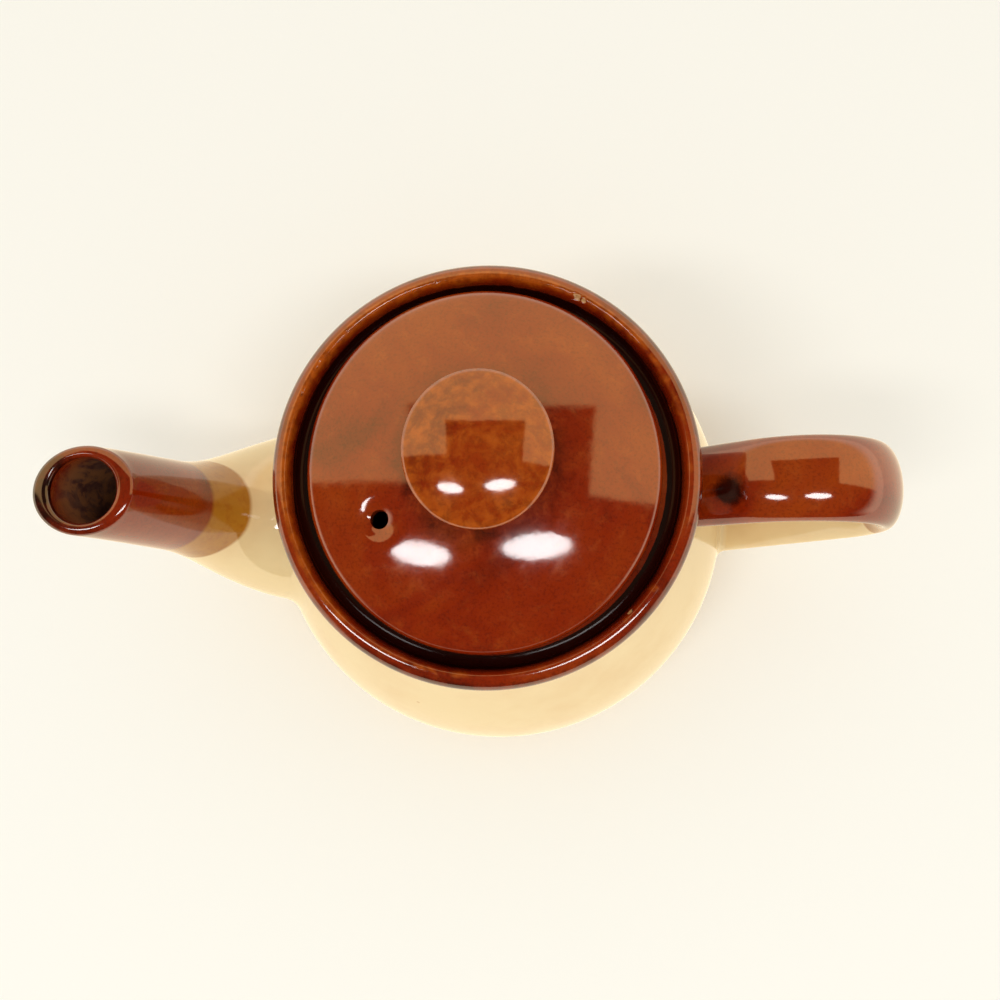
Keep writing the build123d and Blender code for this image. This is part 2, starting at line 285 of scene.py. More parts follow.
def softened(corners, *reaches):
    """A line through corners whose inner corners are rounded, each by its own reach or by the last."""
    line = [Vector(corners[0])]
    for place, (before, corner, after) in enumerate(zip(corners, corners[1:], corners[2:])):
        before, corner, after = Vector(before), Vector(corner), Vector(after)
        reach = reaches[min(place, len(reaches) - 1)]
        first = corner + (before - corner).normalized() * min(reach, (before - corner).length / 2)
        last = corner + (after - corner).normalized() * min(reach, (after - corner).length / 2)
        line += rounded(first, corner, last, CORNER_STEPS)
    line.append(Vector(corners[-1]))
    return line


def glaze_run(outline):
    """How glaze runs along an outline with clay on its right: 1 where it thins, -1 where it pools."""
    travel = [0.0]
    for before, here in zip(outline, outline[1:]):
        travel.append(travel[-1] + (here - before).length)
    turns = [0.0] * len(outline)
    for place in range(1, len(outline) - 1):
        into = outline[place] - outline[place - 1]
        away = outline[place + 1] - outline[place]
        if into.length and away.length:
            turns[place] = into.angle_signed(away)
    runs = []
    for here in travel:
        total = 0.0
        for turn, there in zip(turns, travel):
            total += turn * math.exp(-(((here - there) / RUN_REACH) ** 2))
        runs.append(max(-1.0, min(1.0, total / RUN_FULL)))
    return runs


def put_in_order(piece):
    """Number the edges and faces of a piece in edit mode by their corners, the same on every run."""
    mesh = bmesh.from_edit_mesh(piece.data)
    mesh.verts.index_update()
    count = len(mesh.verts)

    def place(part):
        corners = [corner.index for corner in part.verts]
        return (min(corners) * count + max(corners)) * len(corners) * count + sum(corners)

    for parts in (mesh.edges, mesh.faces):
        parts.sort(key=place)
        parts.index_update()


def lofted(name, places, sides):
    """Draw a skin ring by ring: a unit circle is extruded on to each place in turn."""
    bpy.ops.object.select_all(action="DESELECT")
    bpy.ops.mesh.primitive_circle_add(vertices=sides, radius=1.0)
    piece = bpy.context.object
    piece.name = piece.data.name = name
    corners = [vertex.co.copy() for vertex in piece.data.vertices]
    for vertex, corner in zip(piece.data.vertices, corners):
        vertex.co = places[0] @ corner
    bpy.ops.object.mode_set(mode="EDIT")
    bpy.ops.mesh.select_all(action="SELECT")
    for place in places[1:]:
        bpy.ops.mesh.extrude_edges_move()
        ring = [vertex for vertex in bmesh.from_edit_mesh(piece.data).verts if vertex.select]
        for vertex, corner in zip(ring, corners):
            vertex.co = place @ corner
    put_in_order(piece)
    bpy.ops.object.mode_set(mode="OBJECT")
    return piece


def mark_points(piece, name, values):
    """Keep a value on each point of a piece, such as how the glaze runs there."""
    layer = piece.data.attributes.new(name, "FLOAT", "POINT")
    layer.data.foreach_set("value", values)


def close_skin(piece, joined=False):
    """Close the open ends of a skin, to a point each or to one another, and turn its faces outwards."""
    bpy.ops.object.mode_set(mode="EDIT")
    bpy.ops.mesh.select_all(action="DESELECT")
    bpy.ops.mesh.select_non_manifold(extend=False)
    if joined:
        bpy.ops.mesh.bridge_edge_loops()
    else:
        bpy.ops.mesh.merge(type="COLLAPSE")
    bpy.ops.mesh.select_all(action="SELECT")
    put_in_order(piece)
    bpy.ops.mesh.normals_make_consistent(inside=False)
    bpy.ops.object.mode_set(mode="OBJECT")


def pick(piece):
    """Select a piece alone."""
    bpy.ops.object.select_all(action="DESELECT")
    piece.select_set(True)
    bpy.context.view_layer.objects.active = piece


def turned(name, outline, runs, joined=False, shape_at=None, middle=(0.0, 0.0), thin_side=None):
    """Turn an outline of radius and height about an upright line, with its glaze run marked on each ring.

    Where thin_side is an angle, the glaze thins most on that side and less on the other.
    """
    places = []
    for point in outline:
        across, deep = shape_at(point) if shape_at else (1.0, 1.0)
        place = Matrix.Translation((*middle, point.y))
        places.append(place @ Matrix.Diagonal((across * point.x, deep * point.x, 1, 1)))
    piece = lofted(name, places, RING_SIDES)
    shares = [1.0] * RING_SIDES
    if thin_side is not None:
        for side in range(RING_SIDES):
            turn = math.pi / 2 + 2 * math.pi * side / RING_SIDES
            shares[side] = THIN_EVEN + THIN_SIDED * math.cos(turn - thin_side)
    mark_points(piece, "glaze_run", [run * (share if run > 0 else 1.0) for run in runs for share in shares])
    close_skin(piece, joined)
    return piece


def cut_with(piece, tool):
    """Cut a tool out of a piece and throw the tool away."""
    pick(piece)
    cut = piece.modifiers.new("cut", "BOOLEAN")
    cut.object = tool
    cut.operation = "DIFFERENCE"
    cut.solver = "EXACT"
    bpy.ops.object.modifier_apply(modifier=cut.name)
    mesh = tool.data
    bpy.data.objects.remove(tool)
    bpy.data.meshes.remove(mesh)


def drill(piece, name, facing, middle, ends, radius, sides, run=None):
    """Cut a round hole through a piece, along the upright axis of a facing."""
    places = []
    for end, wide in ((ends[0], POLE), (ends[0], radius), (ends[1], radius), (ends[1], POLE)):
        place = facing @ Matrix.Translation(middle + Vector((0, 0, end)))
        places.append(place @ Matrix.Diagonal((wide, wide, 1, 1)))
    pin = lofted(name, places, sides)
    if run is not None:
        mark_points(pin, "glaze_run", [run] * len(pin.data.vertices))
    close_skin(pin)
    cut_with(piece, pin)


def finish_piece(piece, material, body, slot, node):
    """Glaze a piece, shade it smooth, set it on its body and let it stand for its solid."""
    piece.data.materials.clear()
    piece.data.materials.append(material)
    pick(piece)
    bpy.ops.object.shade_smooth_by_angle(angle=SMOOTH_ANGLE)
    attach(piece, body)
    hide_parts(node)


def wall_curve(sizes, inset, shares):
    """The wall between belly and neck, a depth inside its skin, at shares of the way up."""
    climb = sizes.lip_top - sizes.lip_rise - sizes.belly_height
    middle = (sizes.belly_radius + sizes.neck_radius) / 2 - inset
    swing = (sizes.belly_radius - sizes.neck_radius) / 2
    line = []
    for share in shares:
        line.append(Vector((middle + swing * math.cos(math.pi * share), sizes.belly_height + climb * share)))
    return line


def outer_wall(sizes):
    """Outside of the body from the lip down to the foot ring, as radius and height."""
    lip = (sizes.lip_radius, sizes.lip_top - sizes.lip_roll)
    neck = (sizes.neck_radius, sizes.lip_top - sizes.lip_rise)
    line = [Vector(lip)] + bend(lip, DOWN, neck, DOWN)
    line += wall_curve(sizes, 0.0, [1 - step / WALL_STEPS for step in range(1, WALL_STEPS + 1)])
    belly = (sizes.belly_radius, sizes.belly_height)
    foot = (sizes.foot_radius, sizes.foot_height)
    return line + bend(belly, DOWN, foot, Vector((-1, -1)))


def inner_wall(sizes):
    """Inside of the body from the middle of the floor up to the throat, as radius and height."""
    line = [Vector((POLE, sizes.floor_height)), Vector((sizes.floor_flat / 2, sizes.floor_height))]
    across = sizes.belly_radius - sizes.wall - sizes.floor_flat
    rise = sizes.belly_height - sizes.floor_height
    for step in range(CURVE_STEPS + 1):
        turn = math.pi / 2 * step / CURVE_STEPS
        line.append(
            Vector((sizes.floor_flat + across * math.sin(turn), sizes.belly_height - rise * math.cos(turn)))
        )
    return line + wall_curve(sizes, sizes.wall, [step / WALL_STEPS for step in range(1, WALL_STEPS + 1)])


def body_outline(sizes):
    """The whole outline of the pot body, from the inside floor over the lip to the underside."""
    gallery_height = sizes.lip_top - sizes.gallery_depth
    lip_inner = sizes.lip_radius - sizes.lip_width
    gallery_radius = lip_inner - sizes.gallery_taper
    throat_radius = gallery_radius - sizes.seat_width
    lip_height = sizes.lip_top - sizes.lip_roll
    line = inner_wall(sizes)
    line += softened(
        (
            line.pop(),
            (throat_radius, gallery_height - sizes.seat_thickness),
            (throat_radius, gallery_height),
            (gallery_radius, gallery_height),
            (lip_inner, lip_height),
        ),
        sizes.seat_round,
        sizes.seat_round,
        sizes.gallery_round,
    )
    crest = sizes.lip_radius - sizes.lip_shoulder
    for reach, rise in rolled(crest, crest - lip_inner, sizes.lip_shoulder, sizes.lip_roll):
        line.append(Vector((reach, lip_height + rise)))
    line += outer_wall(sizes)
    foot_inner = sizes.foot_radius - sizes.foot_ring
    line += softened(
        (
            line.pop(),
            (sizes.foot_radius, 0),
            (foot_inner, 0),
            (foot_inner, sizes.foot_recess),
            (POLE, sizes.foot_recess),
        ),
        sizes.foot_round,
    )
    return line


def skin_radius(sizes, height):
    """Outside radius of the pot body at a height between its foot and its lip."""
    line = outer_wall(sizes)
    for upper, lower in zip(line, line[1:]):
        if lower.y <= height <= upper.y:
            share = (height - lower.y) / (upper.y - lower.y)
            return lower.x + (upper.x - lower.x) * share
    return line[0].x if height > line[0].y else line[-1].x


class SpoutShape:
    """The spout's line and thickness, worked out from its sizes."""

    FLARE_SHARE = 0.66
    LEVEL_SHARE = 0.8
    # The lip is this much wider at its two ends than at its sides
    LIP_SPREAD = 0.5

    def __init__(self, sizes):
        self.sizes = sizes
        self.turn = Matrix.Rotation(sizes.turn, 4, "Z")
        start = Vector((sizes.root_reach, sizes.root_height))
        end = Vector((sizes.mouth_reach, sizes.mouth_height))
        leaving = Vector((math.cos(sizes.root_pitch), math.sin(sizes.root_pitch)))
        arriving = Vector((math.cos(sizes.mouth_pitch), math.sin(sizes.mouth_pitch)))
        pull = BOW_SHARE * (end - start).length
        self.handles = (start, start + pull * leaving, end - pull * arriving, end)

    def centre(self, share):
        """Reach and height of the spout's middle line."""
        p0, p1, p2, p3 = self.handles
        back = 1 - share
        return back**3 * p0 + 3 * back**2 * share * p1 + 3 * back * share**2 * p2 + share**3 * p3

    def pitch(self, share):
        """Steepness of the middle line."""
        p0, p1, p2, p3 = self.handles
        back = 1 - share
        along = back**2 * (p1 - p0) + 2 * back * share * (p2 - p1) + share**2 * (p3 - p2)
        return math.atan2(along.y, along.x)

    def radius(self, share):
        """Outside radius: a tapering tube that swells at its root."""
        s = self.sizes
        tube = s.mouth_radius + (s.tube_radius - s.mouth_radius) * (1 - share)
        swell = (1 + math.cos(math.pi * min(share / self.FLARE_SHARE, 1))) / 2
        return tube + (s.root_radius - s.tube_radius) * swell

    def place(self, share, grow, lift=0.0):
        """Where a ring of the spout lies. Towards the mouth the rings turn level."""
        middle = self.centre(share)
        pitch = self.pitch(share)
        level = max(0.0, (share - self.LEVEL_SHARE) / (1 - self.LEVEL_SHARE))
        tilt = pitch + (math.pi / 2 - pitch) * level * level * (3 - 2 * level)
        across = self.radius(share) + grow
        along = self.radius(share) / math.cos(tilt - pitch) + level * self.sizes.mouth_stretch
        along += grow * (1 + self.LIP_SPREAD * level)
        return (
            self.turn
            @ Matrix.Translation((-middle.x, 0, middle.y + lift))
            @ Matrix.Rotation(tilt - math.pi / 2, 4, "Y")
            @ Matrix.Diagonal((along, across, 1, 1))
        )

    def skin(self, share, turn):
        """A point on the outside of the spout."""
        return self.place(share, 0) @ Vector((math.cos(turn), math.sin(turn), 0))


class HandleShape:
    """The strap's line and section, worked out from its sizes."""

    def __init__(self, sizes, body):
        self.sizes = sizes
        self.turn = Matrix.Rotation(sizes.turn, 4, "Z") @ Matrix.Translation((0, -sizes.offset, 0))
        self.hub = Vector((sizes.arch_reach, sizes.arch_height))
        self.root = Vector((body.neck_radius - body.wall, sizes.root_height))
        self.foot = Vector((body.belly_radius - body.wall, sizes.foot_height))
        self.upper, self.upper_slope = self.touch(self.root, 1)
        self.lower, self.lower_slope = self.touch(self.foot, -1)
        self.arc = sizes.arch_radius * (math.pi + self.upper_slope - self.lower_slope)
        self.total = self.upper + self.arc + self.lower

    def touch(self, end, side):
        """Length and slope of the line from an end of the strap that touches one side of the arch."""
        across = self.hub - end
        length = math.sqrt(across.length_squared - self.sizes.arch_radius**2)
        return length, math.atan2(across.y, across.x) + side * math.atan2(self.sizes.arch_radius, length)

    def point(self, travel):
        """Middle of the strap and its direction, after a length of travel from the neck."""
        if travel <= self.upper:
            along = Vector((math.cos(self.upper_slope), math.sin(self.upper_slope)))
            return self.root + along * travel, along
        if travel >= self.upper + self.arc:
            along = -Vector((math.cos(self.lower_slope), math.sin(self.lower_slope)))
            return self.foot - along * (self.total - travel), along
        slope = self.upper_slope - (travel - self.upper) / self.sizes.arch_radius
        outward = Vector((-math.sin(slope), math.cos(slope)))
        return self.hub + outward * self.sizes.arch_radius, Vector((math.cos(slope), math.sin(slope)))

    def place(self, travel):
        """Where a ring of the strap lies."""
        s = self.sizes
        middle, along = self.point(travel)
        width = s.root_width + (s.foot_width - s.root_width) * travel / self.total
        axes = Matrix(((0, -along.y, along.x, 0), (1, 0, 0, 0), (0, along.x, along.y, 0), (0, 0, 0, 1)))
        return (
            self.turn
            @ Matrix.Translation((middle.x, 0, middle.y))
            @ axes
            @ Matrix.Diagonal((width / 2, s.thickness / 2, 1, 1))
        )

    def skin(self, travel, turn):
        """A point on the outside of the strap."""
        return self.place(travel) @ Vector((math.cos(turn), math.sin(turn), 0))


def fillet_piece(name, skin, inside, outside, sizes, reach, sink):
    """Wiped clay in the corner between the pot body and a piece that is stuck on it."""
    corners, tops = [], []
    nudge = (outside - inside) / NUDGES
    for turn in TUBE_TURNS:
        low, high = inside, outside
        for halving in range(HALVINGS):
            middle = (low + high) / 2
            point = skin(middle, turn)
            if math.hypot(point.x, point.y) > skin_radius(sizes, point.z):
                high = middle
            else:
                low = middle
        corner = skin(high, turn)
        pace = (skin(high + nudge, turn) - corner).length / nudge
        corners.append(corner)
        tops.append(skin(high + reach / pace, turn))
    middle = sum(corners, Vector()) / len(corners)
    bpy.ops.object.select_all(action="DESELECT")
    bpy.ops.mesh.primitive_torus_add(major_segments=TUBE_SIDES, minor_segments=FILLET_STEPS + 2)
    piece = bpy.context.object
    piece.name = piece.data.name = name
    for side, (corner, top) in enumerate(zip(corners, tops)):
        along = corners[(side + 1) % TUBE_SIDES] - corners[side - 1]
        lean = (skin_radius(sizes, corner.z + MM) - skin_radius(sizes, corner.z - MM)) / (2 * MM)
        flat = Vector((corner.x, corner.y, 0)).normalized()
        normal = (flat - Vector((0, 0, lean))).normalized()
        away = along.cross(normal).normalized()
        if away.dot(corner - middle) < 0:
            away.negate()
        foot = corner + away * reach
        flat = Vector((foot.x, foot.y, 0)).normalized() * (skin_radius(sizes, foot.z) - sink)
        foot = Vector((flat.x, flat.y, foot.z))
        top = top - (away - normal * away.dot(normal)).normalized() * sink
        ring = rounded(top, corner, foot, FILLET_STEPS) + [corner - normal * (10 * sink)]
        for step, spot in enumerate(ring):
            piece.data.vertices[side * len(ring) + step].co = spot
    mark_points(piece, "glaze_run", [FILLET_RUN] * len(piece.data.vertices))
    bpy.ops.object.mode_set(mode="EDIT")
    bpy.ops.mesh.select_all(action="SELECT")
    bpy.ops.mesh.normals_make_consistent(inside=False)
    bpy.ops.object.mode_set(mode="OBJECT")
    return piece


def wall_core(sizes, depth):
    """The body filled solid, a little inside its skin, which trims the roots of what is stuck on it."""
    line = [Vector((POLE, sizes.lip_top - sizes.lip_roll))]
    line += [Vector((point.x - depth, point.y)) for point in outer_wall(sizes)]
    line.append(Vector((POLE, sizes.foot_height)))
    return turned("wall_core", line, [0.0] * len(line))


def add_node(tree, kind, inputs=(), **settings):
    """Add a shader node, with its settings and with values or links for its inputs."""
    made = tree.nodes.new(kind)
    for name, value in settings.items():
        setattr(made, name, value)
    for name, value in dict(inputs).items():
        if isinstance(value, bpy.types.NodeSocket):
            tree.links.new(value, made.inputs[name])
        else:
            made.inputs[name].default_value = value
    return made


def shade_noise(tree, coords, scale, detail=2.0, rough=0.5, swirl=0.0):
    """Soft noise over a surface."""
    made = add_node(
        tree,
        "ShaderNodeTexNoise",
        {"Vector": coords, "Scale": scale, "Detail": detail, "Roughness": rough, "Distortion": swirl},
    )
    return made.outputs["Fac"]


def ramp(tree, value, low, high, to_low=0.0, to_high=1.0):
    """A smooth step of a value from low to high."""
    made = add_node(
        tree,
        "ShaderNodeMapRange",
        {"Value": value, "From Min": low, "From Max": high, "To Min": to_low, "To Max": to_high},
        interpolation_type="SMOOTHSTEP",
    )
    return made.outputs["Result"]


def arith(tree, operation, *values):
    """One sum on two or three values."""
    return add_node(tree, "ShaderNodeMath", enumerate(values), operation=operation).outputs["Value"]


def point_value(tree, name):
    """A value that is kept on each point of a piece."""
    return add_node(tree, "ShaderNodeAttribute", attribute_name=name).outputs["Fac"]


def blend_colours(tree, share, first, second):
    """One colour changing into another."""
    made = tree.nodes.new("ShaderNodeMix")
    made.data_type = "RGBA"
    for socket, value in ((made.inputs[0], share), (made.inputs[6], first), (made.inputs[7], second)):
        if isinstance(value, bpy.types.NodeSocket):
            tree.links.new(value, socket)
        else:
            socket.default_value = (*value, 1.0) if hasattr(value, "__len__") else value
    return made.outputs[2]


def node_group(name, takes, gives):
    """An empty shader group with its sockets, and its input and output nodes."""
    tree = bpy.data.node_groups.new(name, "ShaderNodeTree")
    for socket, kind in takes:
        tree.interface.new_socket(name=socket, in_out="INPUT", socket_type=kind)
    for socket, kind in gives:
        tree.interface.new_socket(name=socket, in_out="OUTPUT", socket_type=kind)
    return tree, tree.nodes.new("NodeGroupInput"), tree.nodes.new("NodeGroupOutput")


def treacle_group(colours):
    """Brown glaze: streaked, dark where it pools and where negative runs paint shade and dark reflections,
    and amber where it runs thin.
    """
    tree, takes, gives = node_group(
        "Treacle Glaze",
        (("Coords", "NodeSocketVector"), ("Run", "NodeSocketFloat")),
        (("Color", "NodeSocketColor"), ("Roughness", "NodeSocketFloat"), ("Height", "NodeSocketFloat")),
    )
    coords, run = takes.outputs["Coords"], takes.outputs["Run"]
    clouds = shade_noise(tree, coords, 26.0, 3.0, 0.55, 0.8)
    mottle = shade_noise(tree, coords, 210.0, 3.0, 0.65, 0.4)
    grain = shade_noise(tree, coords, 1300.0, 2.0, 0.7)
    run_here = arith(tree, "ADD", run, arith(tree, "MULTIPLY_ADD", mottle, 0.9, -0.45))
    thin = ramp(tree, run_here, 0.3, 0.75)
    # dark where the glaze pools, and painted shade and painted dark reflections
    pool_and_shade = ramp(tree, run_here, -0.2, -0.9)
    warm = ramp(tree, clouds, 0.45, 0.75, 0.0, 0.4)
    shade = arith(tree, "ADD", warm, ramp(tree, mottle, 0.5, 0.8, 0.0, 0.3))
    body = blend_colours(tree, shade, colours.treacle, colours.amber)
    dark = arith(tree, "ADD", ramp(tree, clouds, 0.52, 0.3, 0.0, 0.6), ramp(tree, grain, 0.55, 0.3, 0.0, 0.3))
    body = blend_colours(tree, dark, body, colours.treacle_deep)
    streaks = shade_noise(tree, coords, 420.0, 4.0, 0.7, 0.25)
    streaks = ramp(tree, streaks, 0.34, 0.6, 0.55, 1.0)
    amber = blend_colours(tree, streaks, colours.treacle_deep, colours.amber)
    body = blend_colours(tree, thin, body, amber)
    body = blend_colours(tree, pool_and_shade, body, colours.treacle_pool_and_shade)
    tree.links.new(body, gives.inputs["Color"])
    dull = arith(tree, "ADD", ramp(tree, mottle, 0.3, 0.8, 0.06, 0.12), arith(tree, "MULTIPLY", pool_and_shade, 0.04))
    tree.links.new(dull, gives.inputs["Roughness"])
    waves = shade_noise(tree, coords, 45.0, 1.0)
    peel = arith(tree, "MULTIPLY_ADD", shade_noise(tree, coords, 600.0, 1.0), 0.05, waves)
    tree.links.new(peel, gives.inputs["Height"])
    return tree


def dip_group(colours):
    """Where the brown glaze was dipped: 1 above the wavy line, with a thin honey band along it."""
    tree, takes, gives = node_group(
        "Dip Line",
        (("Coords", "NodeSocketVector"),),
        (("Mask", "NodeSocketFloat"), ("Thin", "NodeSocketFloat")),
    )
    coords = takes.outputs["Coords"]
    axes = add_node(tree, "ShaderNodeSeparateXYZ", {"Vector": coords}).outputs
    line = arith(tree, "MULTIPLY_ADD", axes["X"], -colours.dip_slope, axes["Z"])
    wave = arith(tree, "MULTIPLY_ADD", shade_noise(tree, coords, 35.0, 1.0), 5 * MM, line)
    above = arith(tree, "SUBTRACT", wave, colours.dip_height + 2.5 * MM)
    tree.links.new(ramp(tree, above, -0.5 * MM, 0.7 * MM), gives.inputs["Mask"])
    tree.links.new(ramp(tree, above, 13 * MM, 11 * MM), gives.inputs["Thin"])
    return tree


def cream_group(colours):
    """Pale glaze: faintly clouded, with a few iron specks."""
    tree, takes, gives = node_group(
        "Cream Glaze",
        (("Coords", "NodeSocketVector"),),
        (("Color", "NodeSocketColor"),),
    )
    coords = takes.outputs["Coords"]
    clouds = shade_noise(tree, coords, 40.0, 3.0, 0.6)
    body = blend_colours(tree, ramp(tree, clouds, 0.35, 0.75), colours.cream, colours.cream_shade)
    cells = add_node(tree, "ShaderNodeTexVoronoi", {"Vector": coords, "Scale": 150.0, "Randomness": 1.0})
    near = ramp(tree, cells.outputs["Distance"], 0.11, 0.05)
    few = ramp(tree, shade_noise(tree, coords, 90.0, 1.0), 0.6, 0.7)
    speck = arith(tree, "MULTIPLY", near, few)
    body = blend_colours(tree, arith(tree, "MULTIPLY", speck, 0.55), body, colours.amber)
    tree.links.new(body, gives.inputs["Color"])
    return tree


def place_group(tree, name, maker, colours, links):
    """Place a shader group in a material. The group is made when it is first needed."""
    made = tree.nodes.new("ShaderNodeGroup")
    made.node_tree = bpy.data.node_groups.get(name) or maker(colours)
    for socket, value in links.items():
        tree.links.new(value, made.inputs[socket])
    return made.outputs


def new_glaze(name):
    """A glossy material, its shader, and the two things that its glaze reads from a piece."""
    material = bpy.data.materials.new(name)
    material.use_nodes = True
    tree = material.node_tree
    shader = tree.nodes["Principled BSDF"]
    shader.inputs["IOR"].default_value = 1.8
    coords = tree.nodes.new("ShaderNodeTexCoord").outputs["Object"]
    return material, tree, shader, coords, point_value(tree, "glaze_run")


def set_skin(tree, shader, colour_socket, rough_socket, height_socket):
    """Feed a material's colour, roughness and uneven skin to its shader."""
    tree.links.new(colour_socket, shader.inputs["Base Color"])
    tree.links.new(rough_socket, shader.inputs["Roughness"])
    bump = add_node(tree, "ShaderNodeBump", {"Height": height_socket, "Strength": 0.25, "Distance": 0.6 * MM})
    tree.links.new(bump.outputs["Normal"], shader.inputs["Normal"])


def treacle_material(colours):
    """Brown glaze all over, for the lid."""
    material = bpy.data.materials.get("treacle_glaze")
    if material:
        return material
    material, tree, shader, coords, run = new_glaze("treacle_glaze")
    brown = place_group(tree, "Treacle Glaze", treacle_group, colours, {"Coords": coords, "Run": run})
    set_skin(tree, shader, brown["Color"], brown["Roughness"], brown["Height"])
    return material


def dipped_material(colours):
    """Cream glaze dipped in brown, over clay that is bare under the foot and in chips."""
    material = bpy.data.materials.get("dipped_glaze")
    if material:
        return material
    material, tree, shader, coords, run = new_glaze("dipped_glaze")
    dip = place_group(tree, "Dip Line", dip_group, colours, {"Coords": coords})
    brown = place_group(tree, "Treacle Glaze", treacle_group, colours, {"Coords": coords, "Run": run})
    patchy = ramp(tree, shade_noise(tree, coords, 260.0, 3.0, 0.7), 0.25, 0.6, 0.7, 1.0)
    thinned = blend_colours(tree, arith(tree, "MULTIPLY", dip["Thin"], patchy), brown["Color"], colours.honey)
    cream = place_group(tree, "Cream Glaze", cream_group, colours, {"Coords": coords})
    skin = blend_colours(tree, dip["Mask"], cream["Color"], thinned)
    height = add_node(tree, "ShaderNodeSeparateXYZ", {"Vector": coords}).outputs["Z"]
    chip = ramp(tree, point_value(tree, "chip"), 0.25, 0.5)
    foot = ramp(tree, height, 2.2 * MM, 1.2 * MM)
    bare = arith(tree, "MAXIMUM", foot, chip)
    grit = shade_noise(tree, coords, 600.0, 3.0, 0.7)
    skin = blend_colours(tree, foot, skin, blend_colours(tree, grit, colours.clay, colours.cream_shade))
    worn = blend_colours(tree, ramp(tree, grit, 0.46, 0.36), colours.chip, colours.treacle_deep)
    skin = blend_colours(tree, chip, skin, worn)
    stain = point_value(tree, "stain")
    crust = ramp(tree, shade_noise(tree, coords, 190.0, 4.0, 0.75, 0.6), 0.58, 0.42)
    grime = blend_colours(tree, ramp(tree, grit, 0.35, 0.65), colours.treacle_deep, colours.stain)
    grime = blend_colours(tree, crust, colours.rust, grime)
    skin = blend_colours(tree, stain, skin, grime)
    dull = arith(tree, "MAXIMUM", bare, stain)
    rough = arith(tree, "MULTIPLY_ADD", dull, 0.5, brown["Roughness"])
    set_skin(tree, shader, skin, rough, brown["Height"])
    return material


# The skin is divided so far beyond a chip, with so many cuts
CHIP_MARGIN = 0.9 * MM
CHIP_CUTS = 7
# Raggedness of a chip's edge and its fineness, and the steepness of its bare clay and of its wall
CHIP_RAGGED = 0.35
CHIP_GRAIN = 900
CHIP_BARE = 2.2
CHIP_WALL = 2.0
# Chips and pits in the lip's crest: place round the lip in degrees, radius, depth of the place below the
# lip's top, size, depth of the chip and bareness
LIP_CHIPS = (
    (62.9, 50.9 * MM, 0.8 * MM, 1.3 * MM, 0.8 * MM, 1.0),
    (60.9, 51.2 * MM, 0.7 * MM, 1.0 * MM, 0.5 * MM, 1.0),
    (-44.4, 50.5 * MM, 1.2 * MM, 1.0 * MM, 0.5 * MM, 1.0),
    (158.0, 51.3 * MM, 0.1 * MM, 0.45 * MM, 0.25 * MM, 0.0),
    (149.0, 51.0 * MM, 0.1 * MM, 0.4 * MM, 0.2 * MM, 0.0),
    (147.0, 51.4 * MM, 0.1 * MM, 0.4 * MM, 0.2 * MM, 0.0),
    (135.0, 51.2 * MM, 0.0 * MM, 0.4 * MM, 0.2 * MM, 0.0),
    (105.0, 51.0 * MM, 0.1 * MM, 0.45 * MM, 0.25 * MM, 0.0),
)


def knock_chips(piece, lip_top):
    """Knock the chips and pits out of the lip: the skin is divided there and pushed in."""
    pick(piece)
    spots = []
    for degrees, radius, drop, *rest in LIP_CHIPS:
        turn = math.radians(degrees)
        spots.append((Vector((radius * math.cos(turn), radius * math.sin(turn), lip_top - drop)), *rest))
    bpy.ops.object.mode_set(mode="EDIT")
    bpy.ops.mesh.select_all(action="DESELECT")
    for face in bmesh.from_edit_mesh(piece.data).faces:
        middle = face.calc_center_median()
        face.select_set(any((middle - spot).length < size + CHIP_MARGIN for spot, size, *rest in spots))
    bpy.ops.mesh.subdivide(number_cuts=CHIP_CUTS)
    bpy.ops.object.mode_set(mode="OBJECT")
    bare = []
    outwards = [vertex.normal.copy() for vertex in piece.data.vertices]
    for vertex, outward in zip(piece.data.vertices, outwards):
        worn = push = 0.0
        for spot, size, depth, bareness in spots:
            ragged = (vertex.co - spot).length / size + CHIP_RAGGED * noise.noise(vertex.co * CHIP_GRAIN)
            if ragged < 1:
                worn = max(worn, bareness * min(1.0, CHIP_BARE * (1 - ragged)))
                push = max(push, depth * min(1.0, CHIP_WALL * (1 - ragged)))
        vertex.co -= outward * push
        bare.append(worn)
    mark_points(piece, "chip", bare)


